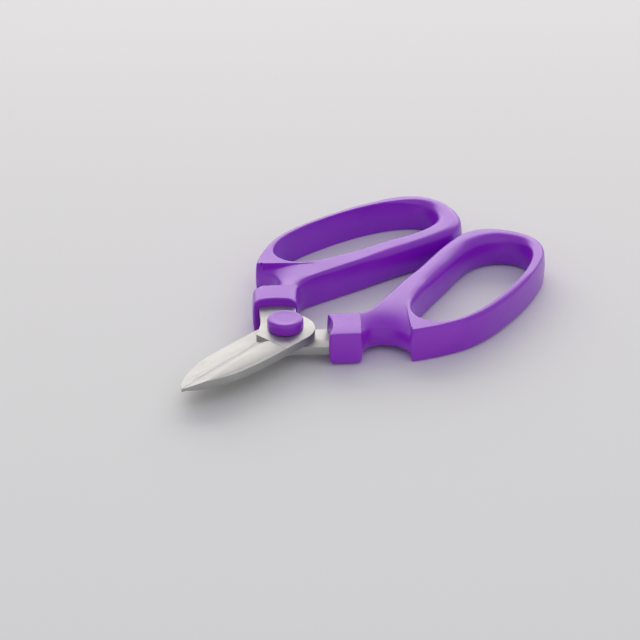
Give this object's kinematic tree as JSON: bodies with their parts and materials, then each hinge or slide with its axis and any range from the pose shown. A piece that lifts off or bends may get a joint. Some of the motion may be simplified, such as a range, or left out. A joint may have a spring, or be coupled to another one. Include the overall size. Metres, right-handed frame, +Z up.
{
  "type": "craft scissors",
  "caption": "Small straight-edged craft scissors with short tapered blades, a capped pivot and moulded ring handles, shown closed.",
  "frame": {"origin": "centre of the closed scissors' bounding box, on the plane that they lie on", "axes": "+Z up from the resting plane along the pivot axis, +Y from the blade tips to the finger rings, +X towards the lower half's handle"},
  "size_m": [0.0978, 0.1634, 0.0141],
  "materials": {
    "blade_steel": "polished, ground on the outer face",
    "handle_plastic": "satin gloss, moulded",
    "knob_plastic": "satin gloss, moulded",
    "plated_steel": "zinc plated",
    "nylon": "natural nylon"
  },
  "bodies": {
    "lower_half": {"lower_blade": "blade_steel", "lower_handle": "handle_plastic", "pivot_bolt": "plated_steel", "slip_washer": "nylon", "thrust_washer": "plated_steel", "pivot_nut": "plated_steel", "pivot_knob": "knob_plastic"},
    "upper_half": {"upper_blade": "blade_steel", "upper_handle": "handle_plastic"}
  },
  "joints": [
    {"name": "pivot", "type": "hinge", "parent": "lower_half", "child": "upper_half", "pos_m": [0, -0.0302, 0.00685], "axis": [0, 0, 1], "range_deg": [0, 60]}
  ]
}
